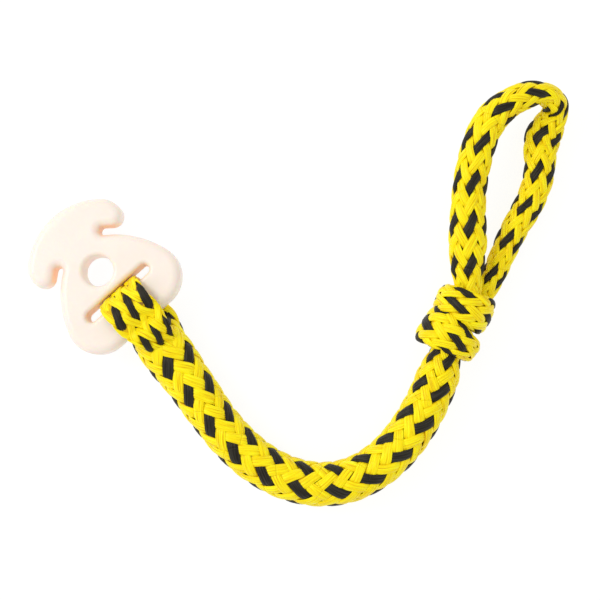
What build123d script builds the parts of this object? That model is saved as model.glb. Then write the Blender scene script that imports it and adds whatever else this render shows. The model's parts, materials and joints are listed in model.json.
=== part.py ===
"""Quick tow connector: a moulded hook plate on a short spliced tow rope that ends in a knotted loop."""
import os
from math import acos, asin, atan2, cos, degrees, radians, sin, sqrt, tan

from build123d import *

# Millimetres and degrees. The connector lies on the ground, which is horizontal, and +Z is up.
# The origin is the centre of the tether hole, halfway through the plate.

# Hook plate, in its own frame: X from the crossbar to the bar, Y across, Z through the thickness
plate_heading = -47.7  # direction of the plate's X axis on the ground
plate_tilt = 8.0  # the bar end is propped up this much by the rope under it
plate_thickness = 13.5
edge_radius = 4.5  # rounding of the outer edges
crossbar_reach = 40.3  # hole centre to the top of the crossbar
crossbar_radius = 39.7
arm_half = 31.3  # half the span over both arms
arm_shoulder_radius = 12.0
arm_tip_radius = 6.1
arm_droop = 50.0  # angle of the arms' undersides from the plate's X axis
neck_half = 14.3  # half the neck between the two notches
notch_top = -19.8  # where an arm's underside meets the neck
notch_radius = 2.2
flank_radius = 53.0  # long curve of each side of the plate
flank_centre = (30.0, -15.6)
base_reach = 38.5  # hole centre to the bottom edge
base_corner_radius = 17.6
tether_hole_radius = 8.4
hole_rim_radius = 2.4
bar_half_width = 9.5  # the bar that the rope goes round, between the slot and the bottom edge
slot_width = 5.6
slot_length = 44.0
slot_rim_radius = 2.7
bar_centre = base_reach - bar_half_width
slot_centre = bar_centre - bar_half_width - slot_width / 2

# Rope
loop_rope_radius = 9.4  # the bare rope, as it shows in the loop's left leg
cover_radius = 12.3  # the same rope swollen by the tail that is buried in it
cover_wall = 2.7
tail_clearance = 0.1
joint_gap = 0.05  # half the gap along the line on which two rope sections hinge

# Rope eye round the bar, in its own frame: X along the rope, Y along the bar, Z up
band_thickness = 4.2  # the rope pressed flat in the slot
band_width = 28.0
band_clearance = 0.1  # to the slot's far wall
band_radius = bar_half_width + slot_width - band_clearance - band_thickness / 2
band_corner = 2.0
leg_width = 24.0
leg_height = 11.6
leg_corner = 5.4
leg_gap = 0.4  # between the two legs where they meet

# Main rope: equal arcs, each turning by its own angle
rope_start = (34.9, -41.5)
rope_start_heading = -51.0
arc_length = 26.4
arc_turns = [-6.0, 5.0, 14.0, 22.5, 28.5, 30.5, 14.0, 13.5, 11.0]
splice_width = 29.0  # the rope is widest where the legs of the eye come together
splice_end_width = 26.0
second_section_end_width = 2 * cover_radius

# Hinges between the rope sections: "side" bends level with the ground, "lift" bends up and down
hinge_kinds = ["lift", "side", "side", "lift", "side", "side", "lift", "side"]
side_bend = (-22.0, 8.0)
lift_bend = (-15.0, 15.0)

# Knot: two flattened turns of rope round the parts that run through
knot_centre = (195.8, -29.8)
knot_stack_heading = 62.0  # direction from the first turn to the second
turn_heading = 53.0  # direction of the turns' own axis, because they lie aslant
turn_spacing = 20.0
turn_width = 17.5
turn_edge_radius = 3.2
turn_thickness = 7.5
turn_half_height = 15.0
first_turn_half = 18.5  # half its outer span across the axis
second_turn_half = 18.0
core_half_width = 9.0
core_half_height = 7.2

# Loop: points on its centre line, each with its height above the ground
loop_points = [
    (201.4, -11.3, 17.5),
    (200.4, 20.7, 20.5),
    (204.0, 56.2, 23.0),
    (213.9, 78.2, 25.5),
    (227.4, 90.2, 27.0),
    (240.4, 95.2, 25.0),
    (248.4, 87.2, 18.0),
    (244.9, 76.2, 12.0),
    (239.4, 48.7, 9.2),
    (227.4, 19.7, 9.0),
    (211.4, -11.3, 10.0),
]
left_leg_radius = loop_rope_radius
crown_radius = 8.6
right_leg_radius = 8.4
loop_side_bend = (-20.0, 20.0)
# Where the loop's pieces meet, as fractions of its length
left_root_end = 0.055
left_middle = 0.22
crown_start = 0.385
crown_end = 0.635
right_leg_start = 0.655  # the gap is the clearance of the open pivot
right_middle = 0.79
right_root_start = 0.94

same_size = 0.001  # sizes closer than this are equal

ground = (
    -(crossbar_reach - edge_radius) * sin(radians(plate_tilt))
    - (plate_thickness / 2 - edge_radius) * cos(radians(plate_tilt))
    - edge_radius
)
rope_height = ground + cover_radius


def heading_vector(heading):
    return Vector(cos(radians(heading)), sin(radians(heading)), 0)


def plate_location():
    return Rot(Z=plate_heading) * Rot(Y=-plate_tilt)


def bar_axis_centre():
    """Centre of the bar, which is the hinge between the plate and the eye."""
    return (plate_location() * Pos(bar_centre, 0, 0)).position


# ---------------------------------------------------------------- hook plate
def plate_half_face():
    """Outline of one half of the plate, from the crossbar's top round to the bottom edge."""
    crossbar_centre = crossbar_radius - crossbar_reach
    arm_angle = degrees(asin(arm_half / crossbar_radius))
    arm_corner = (crossbar_centre - crossbar_radius * cos(radians(arm_angle)), arm_half)
    tip_corner = (notch_top + (arm_half - neck_half) / tan(radians(arm_droop)), arm_half)
    notch_corner = (notch_top, neck_half)
    rise = neck_half - flank_centre[1]
    flank_start = (flank_centre[0] - sqrt(flank_radius**2 - rise**2), neck_half)
    run = base_reach - flank_centre[0]
    flank_end = (base_reach, flank_centre[1] + sqrt(flank_radius**2 - run**2))
    start_angle = degrees(atan2(flank_end[1] - flank_centre[1], run))
    end_angle = degrees(atan2(rise, flank_start[0] - flank_centre[0]))
    edges = [
        CenterArc((crossbar_centre, 0), crossbar_radius, 180 - arm_angle, arm_angle),
        Line(arm_corner, tip_corner),
        Line(tip_corner, notch_corner),
        Line(notch_corner, flank_start),
        CenterArc(flank_centre, flank_radius, start_angle, end_angle - start_angle),
        Line(flank_end, (base_reach, 0)),
        Line((base_reach, 0), (-crossbar_reach, 0)),
    ]
    face = make_face(edges)
    roundings = [
        (arm_corner, arm_shoulder_radius),
        (tip_corner, arm_tip_radius),
        (notch_corner, notch_radius),
        (flank_start, notch_radius),
        (flank_end, base_corner_radius),
    ]
    for corner, radius in roundings:
        nearest = face.vertices().sort_by_distance(corner)[0]
        face = fillet(nearest, radius)
    return face


def hook_plate():
    half = plate_half_face()
    blank = extrude(half + mirror(half, Plane.XZ), plate_thickness / 2, both=True)
    rim_height = plate_thickness / 2
    outer = blank.edges().filter_by_position(Axis.Z, rim_height, rim_height)
    outer += blank.edges().filter_by_position(Axis.Z, -rim_height, -rim_height)
    plate = fillet(outer, edge_radius)
    plate -= Cylinder(tether_hole_radius, 2 * plate_thickness)
    circles = plate.edges().filter_by(GeomType.CIRCLE)
    hole_rims = [e for e in circles if abs(e.radius - tether_hole_radius) < same_size]
    plate = fillet(hole_rims, hole_rim_radius)
    slot = extrude(SlotOverall(slot_length, slot_width, rotation=90), plate_thickness, both=True)
    plate -= Pos(slot_centre, 0, 0) * slot
    reach = slot_width / 2 + same_size
    slot_rims = [
        e
        for e in plate.edges()
        if abs(e.center().X - slot_centre) < reach and abs(abs(e.center().Z) - rim_height) < same_size
    ]
    return plate_location() * fillet(slot_rims, slot_rim_radius)


# ---------------------------------------------------------------- rope eye
def eye_location():
    return Location(bar_axis_centre()) * Rot(Z=plate_heading)


def throat_distance():
    """From the bar's axis to the plane in which the legs of the eye meet the main rope."""
    start = Vector(*rope_start, 0)
    bar = bar_axis_centre()
    return (start - Vector(bar.X, bar.Y, 0)).dot(heading_vector(plate_heading))


def leg_end_height(side):
    """Centre height of a leg at the throat, relative to the bar's axis. side is 1 for the upper leg."""
    return rope_height - bar_axis_centre().Z + side * (leg_height + leg_gap) / 2


def leg_tangent_angle(side):
    """Angle round the bar, from the rope's direction, at which a leg leaves the band."""
    end = Vector(throat_distance(), 0, leg_end_height(side))
    return degrees(atan2(end.Z, end.X)) + side * degrees(acos(band_radius / end.length))


def band_section():
    return RectangleRounded(band_thickness, band_width, band_corner)


def eye_band():
    start = leg_tangent_angle(1)
    sweep_angle = 360 + leg_tangent_angle(-1) - start
    section = Rot(Y=-start) * (Pos(band_radius, 0, 0) * band_section())
    return eye_location() * revolve(section, Axis((0, 0, 0), (0, -1, 0)), sweep_angle)


def eye_leg(side):
    angle = leg_tangent_angle(side)
    tangent_face = Rot(Y=-angle) * (Pos(band_radius, 0, 0) * band_section())
    end_centre = (throat_distance(), 0, leg_end_height(side))
    end_plane = Plane(end_centre, x_dir=(0, 0, side), z_dir=(-side, 0, 0))
    end_face = end_plane * RectangleRounded(leg_height, leg_width, leg_corner)
    leg = eye_location() * loft([tangent_face, end_face])
    start_half, end_half = section_half_widths(1)
    return leg - rope_solid(1, start_half, end_half, cover_radius)


# ---------------------------------------------------------------- main rope
def rope_stations():
    """Start point and heading of each arc of the main rope, and of its end."""
    point = Vector(*rope_start, rope_height)
    heading = rope_start_heading
    stations = [(point, heading)]
    for turn in arc_turns:
        chord = arc_length * sin(radians(turn / 2)) / radians(turn / 2)
        point += heading_vector(heading + turn / 2) * chord
        heading += turn
        stations.append((point, heading))
    return stations


def across(point, heading):
    """Plane across the rope: its X is to the rope's left, its Y is up."""
    return Plane(point, x_dir=heading_vector(heading + 90), z_dir=heading_vector(heading))


def rope_solid(number, start_half, end_half, half_height):
    """One arc of the rope as a solid with an oval section that can change in width."""
    (start, heading), (end, end_heading) = rope_stations()[number - 1 : number + 1]
    path = TangentArc(start, end, tangent=heading_vector(heading))
    first = across(start, heading) * oval(start_half, half_height)
    last = across(end, end_heading) * oval(end_half, half_height)
    return sweep([first, last], path, multisection=True)


def oval(half_width, half_height):
    if abs(half_width - half_height) < same_size:
        return Circle(half_width)
    return Ellipse(half_width, half_height)


def section_half_widths(number):
    widths = [splice_width, splice_end_width, second_section_end_width]
    widths += [2 * cover_radius] * len(arc_turns)
    return widths[number - 1] / 2, widths[number] / 2


def hinge_wedge(point, heading, kind, limits, direction):
    """Room for bending, as a wedge with its ridge on the hinge line. direction is 1 for the end of a section."""
    reach = 2 * cover_radius
    low, high = limits
    corners = [
        (-joint_gap, 0),
        (-joint_gap - reach * tan(radians(high / 2)), reach),
        (reach, reach),
        (reach, -reach),
        (-joint_gap - reach * tan(radians(-low / 2)), -reach),
    ]
    profile = make_face(Polyline(*[(direction * x, y) for x, y in corners], close=True))
    if kind == "side":
        plane = Plane(point, x_dir=heading_vector(heading), z_dir=(0, 0, 1))
    else:
        plane = Plane(point, x_dir=heading_vector(heading), z_dir=-heading_vector(heading + 90))
    return plane * extrude(profile, reach, both=True)


def main_hinge(number):
    """Point, heading, kind and limits of the hinge at the end of a rope section."""
    point, heading = rope_stations()[number]
    kind = hinge_kinds[number - 1]
    return point, heading, kind, side_bend if kind == "side" else lift_bend


def cut_for_hinges(shape, number):
    if number > 1:
        shape -= hinge_wedge(*main_hinge(number - 1), -1)
    if number <= len(hinge_kinds):
        shape -= hinge_wedge(*main_hinge(number), 1)
    return shape


def rope_cover(number):
    start_half, end_half = section_half_widths(number)
    outside = rope_solid(number, start_half, end_half, cover_radius)
    inside = rope_solid(number, start_half - cover_wall, end_half - cover_wall, cover_radius - cover_wall)
    return cut_for_hinges(outside - inside, number)


def buried_tail(number):
    start_half, end_half = section_half_widths(number)
    inset = cover_wall + tail_clearance
    tail = rope_solid(number, start_half - inset, end_half - inset, cover_radius - inset)
    return cut_for_hinges(tail, number)


# ---------------------------------------------------------------- knot
def turn_centre(side):
    """side is -1 for the first turn, next to the main rope, and 1 for the second."""
    centre = Vector(*knot_centre, ground + turn_half_height)
    return centre + heading_vector(knot_stack_heading) * side * turn_spacing / 2


def knot_turn(side, outer_half):
    plane = across(turn_centre(side), turn_heading)
    outer = extrude(plane * Ellipse(outer_half, turn_half_height), turn_width / 2, both=True)
    outer = fillet(outer.edges().filter_by(GeomType.ELLIPSE), turn_edge_radius)
    hole = plane * Ellipse(outer_half - turn_thickness, turn_half_height - turn_thickness)
    return outer - extrude(hole, turn_width, both=True) - knot_core()


def knot_core():
    """The parts of the rope that run through both turns, pressed together."""
    start = turn_centre(-1) - heading_vector(knot_stack_heading) * turn_width / 2
    end = turn_centre(1) + heading_vector(knot_stack_heading) * turn_width / 2
    section = across(start, knot_stack_heading) * Ellipse(core_half_width, core_half_height)
    return extrude(section, (end - start).length, dir=heading_vector(knot_stack_heading))


# ---------------------------------------------------------------- loop
def loop_path():
    """Centre line of the loop, up the left leg, over the crown and down the right leg."""
    return Spline([(x, y, ground + height) for x, y, height in loop_points])


def loop_piece(start, end, radius):
    """The rope between two places on the loop, given as fractions of its length."""
    path = loop_path().trim(start, end)
    section = Plane(path @ 0, z_dir=path % 0) * Circle(radius)
    return sweep(section, path)


def loop_hinge(place):
    """Point and ground heading of the loop at a place along it."""
    path = loop_path()
    direction = path % place
    return path @ place, degrees(atan2(direction.Y, direction.X))


def loop_section(start, end, radius):
    """A loop piece with room to bend at both ends."""
    shape = loop_piece(start, end, radius)
    shape -= hinge_wedge(*loop_hinge(start), "side", loop_side_bend, -1)
    return shape - hinge_wedge(*loop_hinge(end), "side", loop_side_bend, 1)


def left_root():
    shape = loop_piece(0, left_root_end, left_leg_radius)
    shape -= hinge_wedge(*loop_hinge(left_root_end), "side", loop_side_bend, 1)
    return shape - knot_turn(1, second_turn_half) - knot_core()


def right_root():
    shape = loop_piece(right_root_start, 1, right_leg_radius)
    shape -= hinge_wedge(*loop_hinge(right_root_start), "side", loop_side_bend, -1)
    return shape - knot_turn(1, second_turn_half) - knot_core() - left_root()


def outside_knot(shape):
    """The last arc of the main rope, cut back to where it goes into the knot."""
    return shape - knot_turn(-1, first_turn_half) - knot_turn(1, second_turn_half) - knot_core()


def all_parts():
    parts = {"hook_plate": hook_plate()}
    parts["rope_eye_band"] = eye_band()
    parts["rope_eye_upper_leg"] = eye_leg(1)
    parts["rope_eye_lower_leg"] = eye_leg(-1)
    last = len(arc_turns)
    for number in range(1, last):
        parts[f"rope_cover_{number}"] = rope_cover(number)
        parts[f"buried_tail_{number}"] = buried_tail(number)
    parts[f"rope_cover_{last}"] = outside_knot(rope_cover(last))
    parts[f"buried_tail_{last}"] = outside_knot(buried_tail(last))
    parts["knot_first_turn"] = knot_turn(-1, first_turn_half)
    parts["knot_second_turn"] = knot_turn(1, second_turn_half)
    parts["knot_core"] = knot_core()
    parts["loop_left_root"] = left_root()
    parts["loop_left_lower"] = loop_section(left_root_end, left_middle, left_leg_radius)
    parts["loop_left_upper"] = loop_section(left_middle, crown_start, left_leg_radius)
    parts["loop_crown"] = loop_section(crown_start, crown_end, crown_radius)
    parts["loop_right_upper"] = loop_section(right_leg_start, right_middle, right_leg_radius)
    parts["loop_right_lower"] = loop_section(right_middle, right_root_start, right_leg_radius)
    parts["loop_right_root"] = right_root()
    return parts


if __name__ == "__main__":
    os.makedirs("parts", exist_ok=True)
    for name, shape in all_parts().items():
        export_step(shape, f"parts/{name}.step")
        print(name, round(shape.volume), "mm3", len(shape.solids()), "solid")
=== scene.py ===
"""Looks of the quick tow connector: a moulded hook plate on a hollow-braid rope with a knotted loop."""
import json
from math import cos, pi, radians, sin

import bpy
import numpy as np
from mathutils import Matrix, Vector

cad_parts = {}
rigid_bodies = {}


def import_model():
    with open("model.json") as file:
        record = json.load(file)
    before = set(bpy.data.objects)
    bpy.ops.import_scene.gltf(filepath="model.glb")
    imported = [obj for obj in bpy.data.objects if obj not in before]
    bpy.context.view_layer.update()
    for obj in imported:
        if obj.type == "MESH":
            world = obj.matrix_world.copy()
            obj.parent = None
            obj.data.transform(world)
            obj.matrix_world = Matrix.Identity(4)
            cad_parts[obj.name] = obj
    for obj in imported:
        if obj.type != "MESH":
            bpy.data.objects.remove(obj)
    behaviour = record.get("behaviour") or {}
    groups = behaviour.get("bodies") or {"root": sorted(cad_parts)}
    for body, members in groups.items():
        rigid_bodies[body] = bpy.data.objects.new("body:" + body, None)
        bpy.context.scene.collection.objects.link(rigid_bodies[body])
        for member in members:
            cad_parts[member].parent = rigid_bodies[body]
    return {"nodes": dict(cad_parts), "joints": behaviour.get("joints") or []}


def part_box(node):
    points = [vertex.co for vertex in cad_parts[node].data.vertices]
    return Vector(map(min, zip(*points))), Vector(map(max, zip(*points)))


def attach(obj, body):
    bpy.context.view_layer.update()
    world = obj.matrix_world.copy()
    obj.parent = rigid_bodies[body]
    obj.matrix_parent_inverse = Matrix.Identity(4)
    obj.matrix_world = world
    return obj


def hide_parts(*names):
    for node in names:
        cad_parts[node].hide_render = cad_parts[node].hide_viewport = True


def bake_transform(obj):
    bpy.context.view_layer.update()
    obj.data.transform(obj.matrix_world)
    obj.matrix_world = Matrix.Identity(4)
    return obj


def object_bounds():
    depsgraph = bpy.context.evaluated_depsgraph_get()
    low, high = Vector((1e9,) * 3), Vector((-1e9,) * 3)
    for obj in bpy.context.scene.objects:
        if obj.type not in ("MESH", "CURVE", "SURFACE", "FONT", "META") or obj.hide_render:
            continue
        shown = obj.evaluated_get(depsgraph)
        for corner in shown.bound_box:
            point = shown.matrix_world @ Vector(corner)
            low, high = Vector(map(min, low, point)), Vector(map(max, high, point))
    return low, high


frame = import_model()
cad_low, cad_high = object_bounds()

# Lengths in this script are millimetres; meshes are made in metres.
MM = 0.001

# Braid: ten strands wind each way, and every second one of the right-handed ten is black
strands_each_way = 10
weave_depth = 0.8  # a strand rides this far above and below the middle of the braid
strand_thickness = 1.7
strand_fill = 1.0  # strand width as a share of the room between neighbours
braid_depth = weave_depth + strand_thickness / 2
along_step = 0.7
strand_wander = 0.006  # turns that a strand strays from its even winding
width_change = 0.09  # share by which a strand's width varies along it
yarn_groove = 0.36  # depth of the grooves between a strand's yarns, as a share of half its thickness

# Sizes that the frame's joints and boxes don't give
first_arc = 26.4
rope_radius = 12.3
loop_radius = 9.4
band_radius = 12.9
tuck_depth = 0.9
loop_tuck = 4.0
knot_tuck = 5.5

# How the eye's strands wind: how far round they start, and the length of a turn on the leg and over the bar
eye_phase = 0.065
eye_pitch = 100.0
bar_pitch = 150.0


def joint_data(name):
    return next(j for j in frame["joints"] if j["name"] == name)


def joint_point(name):
    return np.array(joint_data(name)["pos_m"]) / MM


def box_mm(node):
    low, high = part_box(node)
    return np.array(low) / MM, np.array(high) / MM


def box_centre(node):
    low, high = box_mm(node)
    return (low + high) / 2


def unit(vectors):
    vectors = np.asarray(vectors, float)
    return vectors / np.linalg.norm(vectors, axis=-1, keepdims=True)


# ---------------------------------------------------------------- curves
def spline(knots, values, places):
    """Natural cubic spline through the values at the knots, read at the places."""
    knots = np.asarray(knots, float)
    values = np.asarray(values, float)
    gaps = np.diff(knots)
    slopes = np.diff(values, axis=0) / gaps[:, None]
    count = len(knots)
    matrix = np.eye(count)
    known = np.zeros_like(values)
    for i in range(1, count - 1):
        matrix[i, i - 1 : i + 2] = gaps[i - 1], 2 * (gaps[i - 1] + gaps[i]), gaps[i]
        known[i] = 6 * (slopes[i] - slopes[i - 1])
    bends = np.linalg.solve(matrix, known)
    cell = np.clip(np.searchsorted(knots, places, side="right") - 1, 0, count - 2)
    after = ((places - knots[cell]) / gaps[cell])[:, None]
    before = 1 - after
    line = before * values[cell] + after * values[cell + 1]
    curve = (before**3 - before) * bends[cell] + (after**3 - after) * bends[cell + 1]
    return line + curve * (gaps[cell] ** 2)[:, None] / 6


def ease(knots, values, places):
    """Values at the knots joined by smooth steps, which never overshoot."""
    cell = np.clip(np.searchsorted(knots, places, side="right") - 1, 0, len(knots) - 2)
    values = np.asarray(values, float)
    share = np.clip((places - knots[cell]) / (knots[cell + 1] - knots[cell]), 0, 1)
    share = share * share * (3 - 2 * share)
    if values.ndim > 1:
        share = share[:, None]
    return values[cell] * (1 - share) + values[cell + 1] * share


class Sleeve:
    """The skin of a rope: a grid of points, with rows along the rope and columns round it.

    Each station is a point on the rope's centre line with the section's half-width and half-height,
    its squareness (2 for an oval) and the direction of the section's top.
    """

    ring = 144
    row_step = 0.5

    def __init__(self, stations, winding, drift=0.0, bunch=0.0):
        points = np.array([s[0] for s in stations], float)
        knots = np.concatenate([[0], np.cumsum(np.linalg.norm(np.diff(points, axis=0), axis=1))])
        fine = np.linspace(0, knots[-1], 4000)
        line = spline(knots, points, fine)
        run = np.concatenate([[0], np.cumsum(np.linalg.norm(np.diff(line, axis=0), axis=1))])
        self.length = run[-1]
        self.rows = np.arange(0, self.length + self.row_step, self.row_step)
        places = np.interp(self.rows, run, fine)
        self.station_rows = np.interp(knots, fine, run)
        centre = spline(knots, points, places)
        shape = ease(knots, [s[1:4] for s in stations], places)
        top = ease(knots, [unit(s[4]) for s in stations], places)
        self.centre = centre
        self.tangent = unit(np.gradient(centre, axis=0))
        self.side = unit(np.cross(self.tangent, top))
        self.top = np.cross(self.side, self.tangent)
        self.drift = drift
        self.bunch = bunch
        self.winding = np.array(winding, float)
        self.grid, self.girth = self.skin_grid(shape)
        round_way = np.roll(self.grid, -1, axis=1) - np.roll(self.grid, 1, axis=1)
        along = np.gradient(self.grid, axis=0)
        self.normal = unit(np.cross(along, round_way)) * -1

    def wound(self, place):
        """Turns that a strand has made round the rope by this place. Beyond the ends the pitch stays the same."""
        rows, turns = self.winding.T
        middle = np.interp(place, rows, turns)
        first = (turns[1] - turns[0]) / (rows[1] - rows[0])
        last = (turns[-1] - turns[-2]) / (rows[-1] - rows[-2])
        return middle + np.minimum(place - rows[0], 0) * first + np.maximum(place - rows[-1], 0) * last

    def skin_grid(self, shape):
        """Points at equal steps round each section, from its top towards the rope's right."""
        fine = np.linspace(0, 2 * pi, 721)
        even = np.arange(self.ring) / self.ring
        grid = np.empty((len(self.rows), self.ring, 3))
        girth = np.empty(len(self.rows))
        for row, (half_width, half_height, square) in enumerate(shape):
            power = 2 / square
            x = half_width * np.sign(np.sin(fine)) * np.abs(np.sin(fine)) ** power
            y = half_height * np.sign(np.cos(fine)) * np.abs(np.cos(fine)) ** power
            run = np.concatenate([[0], np.cumsum(np.hypot(np.diff(x), np.diff(y)))])
            girth[row] = run[-1]
            x = np.interp(even * run[-1], run, x)
            y = np.interp(even * run[-1], run, y)
            grid[row] = self.centre[row] + x[:, None] * self.side[row] + y[:, None] * self.top[row]
        return grid, girth

    def at(self, place, turn, height):
        """Points above the skin. place is along the rope, turn is the share of a turn round it."""
        drift = np.interp(place, *self.drift) if np.ndim(self.drift) else self.drift
        turn = turn + drift
        turn = turn - self.bunch * np.sin(2 * pi * turn)
        row = np.clip(place / self.row_step, 0, len(self.rows) - 1.001)
        column = (turn % 1.0) * self.ring
        r = row.astype(int)
        c = column.astype(int) % self.ring
        next_c = (c + 1) % self.ring
        fr = (row - r)[..., None]
        fc = (column - column.astype(int))[..., None]
        found = []
        for grid in (self.grid, self.normal):
            low = grid[r, c] * (1 - fc) + grid[r, next_c] * fc
            high = grid[r + 1, c] * (1 - fc) + grid[r + 1, next_c] * fc
            found.append(low * (1 - fr) + high * fr)
        return found[0] + unit(found[1]) * np.asarray(height)[..., None]


# ---------------------------------------------------------------- braid
def strand_profile():
    """Section of a strand: across from -1 to 1, and height from -1 to 1. Four flat yarns lie side by side."""
    across = np.sin(np.linspace(-1, 1, 25) * pi / 2)
    bulge = (1 - np.abs(across) ** 3.0) ** 0.6
    ridges = np.abs(np.cos(across * 2 * pi)) ** 0.7
    upper = bulge * (1 - yarn_groove * (1 - ridges))
    back = across[-3:1:-5]
    lower = -0.8 * (1 - np.abs(back) ** 3.0) ** 0.6
    return np.concatenate([across, back]), np.concatenate([upper, lower])


def weave(turn):
    """Height of a right-handed strand over the middle of the braid, from -1 to 1."""
    return np.tanh(1.8 * np.cos(5 * 2 * pi * (turn - 0.025))) / np.tanh(1.8)


class MeshParts:
    """Collects tubes into one mesh."""

    def __init__(self):
        self.points, self.faces, self.across, self.along, self.depth = [], [], [], [], []
        self.count = 0

    def add(self, grid, across, along, depth):
        """grid is rows x ring x 3; the ring is closed and both ends are capped."""
        rows, ring = grid.shape[:2]
        index = np.arange(rows * ring).reshape(rows, ring) + self.count
        nxt = np.roll(index, -1, axis=1)
        quads = np.stack([index[:-1], nxt[:-1], nxt[1:], index[1:]], axis=-1).reshape(-1, 4)
        self.faces.append(quads.tolist() + [index[0][::-1].tolist(), index[-1].tolist()])
        self.points.append(grid.reshape(-1, 3))
        for store, value in ((self.across, across), (self.along, along), (self.depth, depth)):
            store.append(np.broadcast_to(value, (rows, ring)).ravel())
        self.count += rows * ring

    def build(self, name, material):
        mesh = bpy.data.meshes.new(name)
        points = np.concatenate(self.points) * MM
        mesh.from_pydata(points.tolist(), [], [f for group in self.faces for f in group])
        for label, values in (("across", self.across), ("along", self.along), ("depth", self.depth)):
            attribute = mesh.attributes.new(label, "FLOAT", "POINT")
            attribute.data.foreach_set("value", np.concatenate(values).astype(np.float32))
        mesh.polygons.foreach_set("use_smooth", [True] * len(mesh.polygons))
        mesh.materials.append(material)
        mesh.update()
        item = bpy.data.objects.new(name, mesh)
        bpy.context.scene.collection.objects.link(item)
        return item


def sin_waves(place, length, start):
    """An uneven wave from -1 to 1, made of two sines."""
    return 0.6 * np.sin(2 * pi * place / length + start) + 0.4 * np.sin(2 * pi * place / (length * 0.43) + start * 3.1)


def tucked(place, joint_row):
    """How far the rope is sunk before its joint, where it slips inside the piece on the other side."""
    return tuck_depth * np.clip((joint_row - place) / along_step, 0, 1)


def add_strand(parts, sleeve, start, end, hand, number, joint_row=-np.inf):
    """One strand from start to end along the sleeve. hand is 1 for right-handed, -1 for left-handed."""
    count = max(2, int(round((end - start) / along_step)) + 1)
    place = np.linspace(start, end, count)
    turns_made = sleeve.wound(place)
    own = number * 2.4 + hand
    wander = sin_waves(place, 31.0, own) * strand_wander
    turn = number / strands_each_way + hand * turns_made + wander
    girth = np.interp(place, sleeve.rows, sleeve.girth) - 2 * pi * braid_depth
    slope = np.arctan(girth * np.gradient(turns_made, place))
    half = strand_fill * girth / strands_each_way * np.cos(slope) / 2
    half = half * (1 + width_change * sin_waves(place, 23.0, own * 1.7))
    across, rise = strand_profile()
    lift = hand * weave(turn)
    widths = half[:, None] * across
    rows = place[:, None] - hand * widths * np.sin(slope)[:, None]
    turns = turn[:, None] + widths * np.cos(slope)[:, None] / girth[:, None]
    height = -braid_depth + weave_depth * lift[:, None] + strand_thickness / 2 * rise
    height = height - tucked(place, joint_row)[:, None]
    grid = sleeve.at(rows, turns, height)
    along = place[:, None] / 10 + number * 7.3 + (5 if hand < 0 else 0)
    # depth is 1 where the strand rides over and 0 where it dips under; the strand material paints shade from it.
    parts.add(grid, across[None, :], along, (0.5 + 0.5 * lift)[:, None])


def add_core(parts, sleeve, start, end, depth, joint_row=-np.inf):
    """The inside of the rope, seen through the gaps between strands."""
    count = max(2, int((end - start) / 2) + 1)
    place = np.linspace(start, end, count)
    turn = np.arange(36) / 36
    sunk = depth + tucked(place, joint_row)
    grid = sleeve.at(place[:, None] + 0 * turn, turn + 0 * place[:, None], -sunk[:, None] + 0 * turn)
    parts.add(grid, 0.0, place[:, None] / 10, 0.0)


def braid(name, sleeve, start, end, placing, tuck=0.0):
    """The yellow strands, black strands and core of one stretch of rope.

    tuck is the length that reaches back past the start, inside the neighbour, to fill the gap as a joint bends.
    """
    yellow, black, core = MeshParts(), MeshParts(), MeshParts()
    joint_row = start if tuck else -np.inf
    start = start - tuck
    for number in range(strands_each_way):
        tracer = number % 2 == 0
        add_strand(black if tracer else yellow, sleeve, start, end, 1, number, joint_row)
        add_strand(yellow, sleeve, start, end, -1, number, joint_row)
    add_core(core, sleeve, start, end, 2 * braid_depth - 0.4, joint_row)
    made = [
        yellow.build(f"{name}_yellow_strands", materials["yellow"]),
        black.build(f"{name}_black_strands", materials["black"]),
        core.build(f"{name}_core", materials["core"]),
    ]
    for item in made:
        placing(item)
    return made


def riding(body):
    return lambda item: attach(item, body)


def bending():
    """Placing for a piece that spans a joint: its transform is baked into its mesh."""
    return lambda item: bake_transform(item)


def row_of(sleeve, point):
    return sleeve.rows[int(np.argmin(np.linalg.norm(sleeve.centre - point, axis=1)))]


# ---------------------------------------------------------------- materials
def new_material(name):
    material = bpy.data.materials.new(name)
    material.use_nodes = True
    tree = material.node_tree
    shader = tree.nodes["Principled BSDF"]
    return material, tree, shader


def node(tree, kind, **settings):
    made = tree.nodes.new(kind)
    for key, value in settings.items():
        setattr(made, key, value)
    return made


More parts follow.
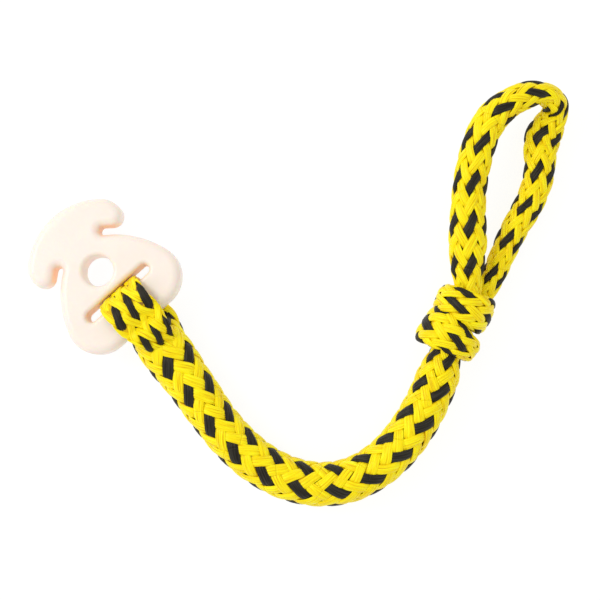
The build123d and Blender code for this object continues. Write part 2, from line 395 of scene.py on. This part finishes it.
def strand_material(name, shade, base, highlight, roughness, gloss, tint):
    """Glossy flat-laid filaments: fine lighter and darker lines along the strand, and painted shade where it dips
    under another.
    """
    material, tree, shader = new_material(name)
    link = tree.links.new
    across = node(tree, "ShaderNodeAttribute", attribute_name="across")
    along = node(tree, "ShaderNodeAttribute", attribute_name="along")
    depth = node(tree, "ShaderNodeAttribute", attribute_name="depth")
    place = node(tree, "ShaderNodeCombineXYZ")
    link(across.outputs["Fac"], place.inputs["X"])
    link(along.outputs["Fac"], place.inputs["Y"])
    layers = []
    for across_scale, along_scale in ((3.6, 0.9), (11.0, 0.7)):
        stretch = node(tree, "ShaderNodeMapping")
        stretch.inputs["Scale"].default_value = (across_scale, along_scale, 1.0)
        link(place.outputs["Vector"], stretch.inputs["Vector"])
        fibre = node(tree, "ShaderNodeTexNoise")
        fibre.inputs["Scale"].default_value = 1.0
        fibre.inputs["Detail"].default_value = 3.0
        link(stretch.outputs["Vector"], fibre.inputs["Vector"])
        layers.append(fibre)
    both = node(tree, "ShaderNodeMix", data_type="FLOAT")
    both.inputs["Factor"].default_value = 0.45
    link(layers[0].outputs["Fac"], both.inputs["A"])
    link(layers[1].outputs["Fac"], both.inputs["B"])
    # Lighter and darker streaks from the same noise as the bumps: partly the filaments' own uneven tone, partly
    # painted shade in the grooves and painted highlight on the ridges.
    tone = node(tree, "ShaderNodeValToRGB")
    tone.color_ramp.elements[0].position = 0.36
    tone.color_ramp.elements[0].color = (*shade, 1)
    tone.color_ramp.elements[1].position = 0.62
    tone.color_ramp.elements[1].color = (*highlight, 1)
    middle = tone.color_ramp.elements.new(0.47)
    middle.color = (*base, 1)
    link(both.outputs["Result"], tone.inputs["Fac"])
    # Painted shade: the colour goes towards the shade colour where the depth attribute says the strand dips under
    # another.
    under_shade = node(tree, "ShaderNodeMapRange")
    under_shade.inputs["From Min"].default_value = 0.0
    under_shade.inputs["From Max"].default_value = 0.6
    under_shade.inputs["To Min"].default_value = 0.25
    link(depth.outputs["Fac"], under_shade.inputs["Value"])
    mix = node(tree, "ShaderNodeMix", data_type="RGBA")
    mix.inputs["A"].default_value = (*shade, 1)
    link(under_shade.outputs["Result"], mix.inputs["Factor"])
    link(tone.outputs["Color"], mix.inputs["B"])
    link(mix.outputs["Result"], shader.inputs["Base Color"])
    bump = node(tree, "ShaderNodeBump")
    bump.inputs["Strength"].default_value = 0.8
    bump.inputs["Distance"].default_value = 0.5 * MM
    link(both.outputs["Result"], bump.inputs["Height"])
    link(bump.outputs["Normal"], shader.inputs["Normal"])
    shader.inputs["Roughness"].default_value = roughness
    shader.inputs["Specular IOR Level"].default_value = gloss
    shader.inputs["Specular Tint"].default_value = (*tint, 1)
    return material


def shaded_core_material():
    material, tree, shader = new_material("painted_shade_rope_inside")
    link = tree.links.new
    noise = node(tree, "ShaderNodeTexNoise")
    noise.inputs["Scale"].default_value = 400.0
    tone = node(tree, "ShaderNodeValToRGB")
    # Painted shade: the rope's inside is coloured dark brown-orange, far darker than the yellow strands, for the shade
    # that fills it.
    tone.color_ramp.elements[0].color = (0.10, 0.05, 0.005, 1)
    tone.color_ramp.elements[1].color = (0.55, 0.30, 0.01, 1)
    link(noise.outputs["Fac"], tone.inputs["Fac"])
    link(tone.outputs["Color"], shader.inputs["Base Color"])
    shader.inputs["Roughness"].default_value = 0.6
    return material


def plastic_material():
    """Cream plastic that lets some light through, with a painted warm shade in its hole, slot and notches."""
    material, tree, shader = new_material("cream_plastic")
    link = tree.links.new
    noise = node(tree, "ShaderNodeTexNoise")
    noise.inputs["Scale"].default_value = 60.0
    noise.inputs["Detail"].default_value = 4.0
    place = node(tree, "ShaderNodeTexCoord")
    link(place.outputs["Object"], noise.inputs["Vector"])
    tone = node(tree, "ShaderNodeValToRGB")
    tone.color_ramp.elements[0].color = (0.86, 0.76, 0.68, 1)
    tone.color_ramp.elements[1].color = (0.91, 0.82, 0.74, 1)
    link(noise.outputs["Fac"], tone.inputs["Fac"])
    # Painted shade: ambient occlusion from the plate itself mixes a warm orange into the colour of the hole, slot and
    # notches.
    hollow = node(tree, "ShaderNodeAmbientOcclusion", only_local=True, samples=8)
    hollow.inputs["Distance"].default_value = 10 * MM
    depth = node(tree, "ShaderNodeMapRange")
    depth.inputs["From Min"].default_value = 0.92
    depth.inputs["From Max"].default_value = 0.45
    link(hollow.outputs["AO"], depth.inputs["Value"])
    painted_hollow_shade = node(tree, "ShaderNodeMix", data_type="RGBA")
    painted_hollow_shade.inputs["B"].default_value = (1.0, 0.66, 0.40, 1)
    link(depth.outputs["Result"], painted_hollow_shade.inputs["Factor"])
    link(tone.outputs["Color"], painted_hollow_shade.inputs["A"])
    link(painted_hollow_shade.outputs["Result"], shader.inputs["Base Color"])
    bump = node(tree, "ShaderNodeBump")
    bump.inputs["Strength"].default_value = 0.15
    bump.inputs["Distance"].default_value = 0.2 * MM
    link(noise.outputs["Fac"], bump.inputs["Height"])
    link(bump.outputs["Normal"], shader.inputs["Normal"])
    shader.inputs["Roughness"].default_value = 0.38
    shader.inputs["Subsurface Weight"].default_value = 0.5
    shader.inputs["Subsurface Radius"].default_value = (0.006, 0.003, 0.0015)
    shader.inputs["Subsurface Scale"].default_value = 1.0
    return material


# Strand colours are given as painted shade, own colour and painted highlight, then roughness, gloss and gloss tint.
materials = {
    "yellow": strand_material(
        "yellow_strand", (0.70, 0.40, 0.0), (1.0, 0.75, 0.0), (1.0, 0.96, 0.01), 0.34, 0.5, (1.0, 0.88, 0.3)),
    "black": strand_material(
        "black_strand", (0.004, 0.003, 0.002), (0.009, 0.008, 0.006), (0.035, 0.033, 0.026), 0.4, 0.25, (1.0, 0.9, 0.7)),
    "core": shaded_core_material(),
    "plastic": plastic_material(),
}


# ---------------------------------------------------------------- main rope
UP = (0, 0, 1)


def main_sleeve():
    rope_joints = [j["name"] for j in frame["joints"] if j["name"].startswith("rope_")]
    points = [joint_point(name) for name in rope_joints]
    heading = unit(np.cross(UP, joint_data(rope_joints[0])["axis"]))
    turn = radians(3.0)
    heading = np.array([
        heading[0] * cos(turn) - heading[1] * sin(turn), heading[0] * sin(turn) + heading[1] * cos(turn), 0])
    start = points[0] - heading * first_arc
    turn_low, turn_high = box_mm("knot_first_turn")
    knot = (turn_low + turn_high) / 2
    knot[2] = points[0][2] + 2
    down = np.array([0, 0, -1.0])
    stations = [
        (start - heading * 20 + down * 7.4, 12.6, 4.4, 2, UP),
        (start - heading * 13 + down * 5.0, 13.6, 6.6, 2, UP),
        (start - heading * 4 + down * 0.4, 14.3, 11.4, 2, UP),
        (start + heading * 6, 14.3, rope_radius, 2, UP),
        (points[0], 13.0, rope_radius, 2, UP),
    ]
    stations += [(p, rope_radius, rope_radius, 2, UP) for p in points[1:-1]]
    stations += [(points[-1], 12.0, 12.0, 2, UP), (knot, 8.0, 9.0, 2, UP)]
    sleeve = Sleeve(stations, winding=[(0, 0), (1, 1)], drift=0.025)
    origin = row_of(sleeve, start)
    first_tracer = origin + 49.5
    sleeve.winding = np.array([(first_tracer, 0.025), (first_tracer + 97.5, 1.025)])
    return sleeve, rope_joints


def build_main_rope():
    """Pieces that each span one joint. The last joint, by the knot, is a split instead."""
    sleeve, names = main_sleeve()
    joint_rows = [row_of(sleeve, joint_point(name)) for name in names]
    cuts = [0.0] + [(a + b) / 2 for a, b in zip(joint_rows, joint_rows[1:])]
    made = []
    for i, name in enumerate(names[:-1]):
        placing = bending()
        made += braid(f"main_rope_{i + 1}", sleeve, cuts[i], cuts[i + 1], placing)
    last = joint_data(names[-1])
    made += braid("main_rope_8", sleeve, cuts[-1], joint_rows[-1], riding(last["parent"]))
    made += braid("main_rope_9", sleeve, joint_rows[-1], sleeve.length, riding(last["child"]), knot_tuck)
    return made


# ---------------------------------------------------------------- loop
loop_joints = [
    "loop_open", "loop_left_middle_bend", "loop_crown_bend", "loop_right_middle_bend", "loop_right_root_bend"]


def loop_sleeve():
    points = {n: joint_point(n) for n in loop_joints}
    ground_z = cad_low[2] / MM
    left_start = np.array([200.5, -20.0, ground_z + 16.0])
    right_end = np.array([207.5, -18.0, ground_z + 10.0])
    stations = [
        (left_start, 7.6, 7.6, 2, UP),
        ((201.3, -6.0, ground_z + 18.5), 7.8, 8.0, 2, UP),
        (points["loop_open"], 9.4, 8.8, 2, UP),
        ((200.9, 15.1, ground_z + 20.2), 10.6, 9.0, 2, UP),
        (points["loop_left_middle_bend"], 9.5, 8.8, 2, UP),
        ((205.7, 65.5, ground_z + 23.6), 9.4, 8.8, 2, UP),
        ((211.6, 80.0, ground_z + 25.5), 9.2, 8.8, 2, UP),
        ((229.5, 94.0, ground_z + 26.0), 7.8, 9.8, 2, UP),
        ((242.2, 95.8, ground_z + 23.0), 6.0, 10.5, 2, UP),
        ((249.4, 90.0, ground_z + 16.5), 7.0, 9.0, 2, UP),
        ((243.8, 74.4, ground_z + 10.5), 10.2, 7.6, 2, UP),
        ((242.2, 57.8, ground_z + 9.2), 8.7, 8.2, 2, UP),
        (points["loop_right_middle_bend"], 8.2, 8.2, 2, UP),
        ((228.5, 24.0, ground_z + 9.0), 7.7, 8.0, 2, UP),
        (points["loop_right_root_bend"], 7.0, 7.6, 2, UP),
        (right_end, 6.4, 7.0, 2, UP),
    ]
    sleeve = Sleeve(stations, winding=[(0, 0), (1, 1)])
    first = row_of(sleeve, np.array([202.6, 3.4, ground_z + 19.0]))
    last = row_of(sleeve, np.array([213.5, -1.4, ground_z + 10.0]))
    fold = first + 107.9
    sleeve.winding = np.array([(first, 0.025), (first + 89.2, 0.825), (first + 144, 1.425), (last, 2.225)])
    sleeve.drift = (np.array([0.0, first + 95, first + 135, 260.0]), np.array([-0.014, -0.014, 0.028, 0.028]))
    return sleeve


def build_loop():
    """One piece for each CAD piece of the loop. Each reaches back inside the one before it."""
    sleeve = loop_sleeve()
    rows = {n: row_of(sleeve, joint_point(n)) for n in loop_joints}
    open_row = row_of(sleeve, np.array([243.0, 70.0, cad_low[2] / MM + 10]))
    plan = [
        ("loop_left_root", "knot", 0.0, rows["loop_open"]),
        ("loop_left_lower", "loop_left_lower", rows["loop_open"], rows["loop_left_middle_bend"]),
        ("loop_left_upper", "loop_left_upper", rows["loop_left_middle_bend"], rows["loop_crown_bend"]),
        ("loop_crown", "loop_crown", rows["loop_crown_bend"], open_row),
        ("loop_right_upper", "loop_right_upper", open_row, rows["loop_right_middle_bend"]),
        ("loop_right_lower", "loop_right_lower", rows["loop_right_middle_bend"], rows["loop_right_root_bend"]),
        ("loop_right_root", "knot", rows["loop_right_root_bend"], sleeve.length),
    ]
    made = []
    for name, body, start, end in plan:
        made += braid(f"{name}_rope", sleeve, start, end, riding(body), loop_tuck if start > 0 else 0.0)
    return made


# ---------------------------------------------------------------- eye round the bar
def build_eye():
    joint = joint_data("hook_swing")
    bar = joint_point("hook_swing")
    ahead = unit(np.cross(joint["axis"], UP))
    main = main_sleeve()[0]
    throat = main.centre[int(20 / main.row_step)]
    reach = (throat - bar) @ ahead
    rope_z = joint_point("rope_lift_1")[2] - bar[2]

    def at(forward, upward, left=0.0):
        return bar + ahead * forward + np.array(UP) * upward + np.cross(UP, ahead) * left

    stations = [
        (at(reach + 8, rope_z + 3.0), 8.0, 4.0, 2.5, UP),
        (at(reach - 1, rope_z + 8.0), 9.5, 4.2, 2.5, UP),
        (at(reach - 9, rope_z + 14.0), 11.5, 3.6, 2.8, UP),
    ]
    for angle in range(50, 240, 30):
        out = ahead * cos(radians(angle)) + np.array(UP) * sin(radians(angle))
        stations.append((bar + out * band_radius, 13.6, 2.2, 3.5, out))
    stations += [
        (at(reach - 22, rope_z - 8.6, 2.0), 12.6, 2.6, 3, (0, 0, -1)),
        (at(reach - 12, rope_z - 6.0, 3.6), 12.0, 4.4, 2.5, (0, 0, -1)),
        (at(reach + 6, rope_z - 2.0, 1.5), 9.0, 5.0, 2.5, (0, 0, -1)),
    ]
    sleeve = Sleeve(stations, winding=[(0, 0), (1, 1)], bunch=0.04)
    bend = sleeve.station_rows[4]
    turns = eye_phase + bend / eye_pitch
    sleeve.winding = np.array([(0, eye_phase), (bend, turns), (bend + 30, turns + 30 / bar_pitch)])
    return braid("rope_eye", sleeve, 0, sleeve.length, riding("eye"))




# ---------------------------------------------------------------- knot
def build_turn(number, node_name, heading, reach, half_width, fan, shift, phase):
    """One turn of the knot, wound round the direction of its heading.

    reach is half its span across the rope, fan makes its right end wider than its left one, and
    shift moves it along the rope and to the right.
    """
    low, high = box_mm(node_name)
    along = np.array([cos(radians(heading)), sin(radians(heading)), 0])
    across = np.array([along[1], -along[0], 0])
    centre = (low + high) / 2 + along * shift[0] + across * shift[1]
    stations = []
    for angle in range(-180, 181, 30):
        right = sin(radians(angle))
        upward = np.array(UP) * cos(radians(angle))
        width = half_width * (1 + fan * right)
        stations.append((centre + across * right * (reach - 4.6) + upward * 10.8, width, 4.8, 2.4, across * right + upward))
    sleeve = Sleeve(stations, winding=[(0, phase), (96, 1 + phase)])
    return braid(f"knot_turn_{number}", sleeve, 0, sleeve.length, riding("knot"))


# ---------------------------------------------------------------- the object
rope_nodes = [n for n in frame["nodes"] if n != "hook_plate"]
rope_pieces = build_main_rope() + build_loop() + build_eye()
rope_pieces += build_turn(1, "knot_first_turn", 55, 17.6, 9.8, -0.3, (3.2, -1.2), 0.0)
rope_pieces += build_turn(2, "knot_second_turn", 66, 16.4, 9.6, 0.12, (1.0, -1.6), 0.1)
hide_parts(*rope_nodes)
plate = frame["nodes"]["hook_plate"]
plate.data.materials.clear()
plate.data.materials.append(materials["plastic"])


# ---------------------------------------------------------------- stage
def build_floor():
    low, high = cad_low / MM, cad_high / MM
    size = 4000.0
    mesh = bpy.data.meshes.new("floor")
    z = low[2] - 0.05
    corners = [(-size, -size, z), (size, -size, z), (size, size, z), (-size, size, z)]
    mesh.from_pydata([tuple(c * MM for c in p) for p in corners], [], [(0, 1, 2, 3)])
    floor = bpy.data.objects.new("floor", mesh)
    bpy.context.scene.collection.objects.link(floor)
    material, tree, shader = new_material("floor")
    shader.inputs["Base Color"].default_value = (0.16, 0.16, 0.16, 1)
    shader.inputs["Roughness"].default_value = 0.9
    shader.inputs["Specular IOR Level"].default_value = 0.0
    shader.inputs["Emission Color"].default_value = (1, 1, 1, 1)
    shader.inputs["Emission Strength"].default_value = 0.88
    mesh.materials.append(material)
    return floor


def build_light(name, place, aim, size, power):
    lamp = bpy.data.lights.new(name, "AREA")
    lamp.size = size
    lamp.energy = power
    item = bpy.data.objects.new(name, lamp)
    bpy.context.scene.collection.objects.link(item)
    item.location = place
    direction = Vector(aim) - Vector(place)
    item.rotation_mode = "QUATERNION"
    item.rotation_quaternion = direction.to_track_quat("-Z", "Y")


def build_stage():
    build_floor()
    world = bpy.data.worlds.new("studio")
    bpy.context.scene.world = world
    world.use_nodes = True
    world.node_tree.nodes["Background"].inputs["Color"].default_value = (1, 1, 1, 1)
    world.node_tree.nodes["Background"].inputs["Strength"].default_value = 0.84
    middle = (cad_low + cad_high) / 2
    build_light("soft_box", (middle.x - 0.9, middle.y + 0.35, 0.9), middle, 0.5, 6.0)
    bpy.context.scene.view_settings.view_transform = "Standard"


def build_camera():
    floor_z = cad_low.z
    distance = 0.7
    aim = (0.1098, -0.0155, floor_z)
    camera = bpy.data.cameras.new("camera")
    camera.sensor_width = 36.0
    camera.lens = 36.0 * (distance - 0.012) / 0.33
    item = bpy.data.objects.new("camera", camera)
    bpy.context.scene.collection.objects.link(item)
    item.location = (aim[0], aim[1], floor_z + distance)
    item.rotation_euler = (0, 0, 0)
    camera.clip_start = 0.01
    bpy.context.scene.camera = item


build_stage()
build_camera()
